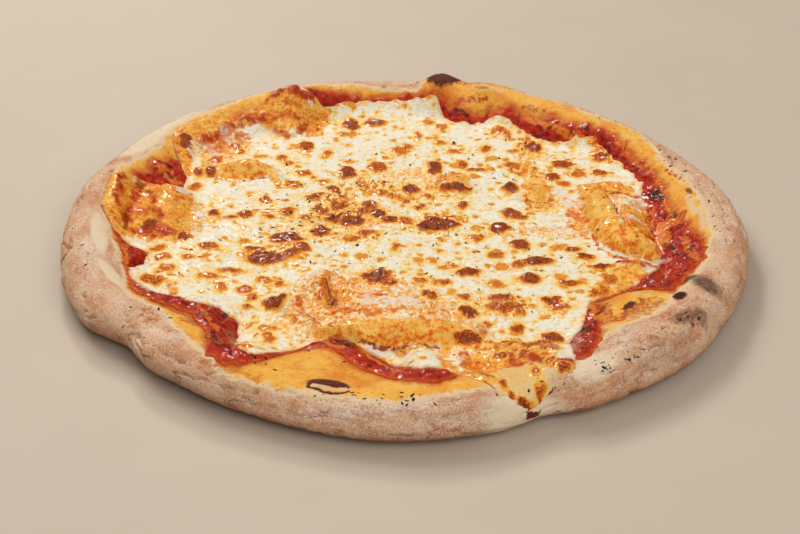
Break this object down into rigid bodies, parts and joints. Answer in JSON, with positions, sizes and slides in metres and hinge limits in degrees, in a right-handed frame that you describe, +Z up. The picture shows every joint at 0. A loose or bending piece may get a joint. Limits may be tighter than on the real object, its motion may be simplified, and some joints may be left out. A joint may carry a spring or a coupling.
{
  "type": "margherita pizza",
  "caption": "Whole margherita pizza with a puffed crust, glossy tomato sauce, browned melted mozzarella and dried herbs.",
  "frame": {"origin": "middle of the baked base, on the surface that the pizza lies on", "axes": "+Z up, out of the cheese; -Y is the front, towards the side where cheese has run over the rim"},
  "size_m": [0.3214, 0.323, 0.025],
  "materials": {
    "crust": "baked wheat dough, floury pale tan outside with toasted and charred spots, oiled orange inside the rim",
    "tomato_sauce": "cooked crushed tomato, wet and lumpy",
    "mozzarella": "melted cheese, moist ivory with oily yellow patches and browned spots",
    "dried_oregano": "dry crumbled leaf flecks, dark green to nearly black"
  },
  "bodies": {
    "root": {"crust": "crust", "tomato_sauce": "tomato_sauce", "mozzarella": "mozzarella"}
  },
  "joints": []
}
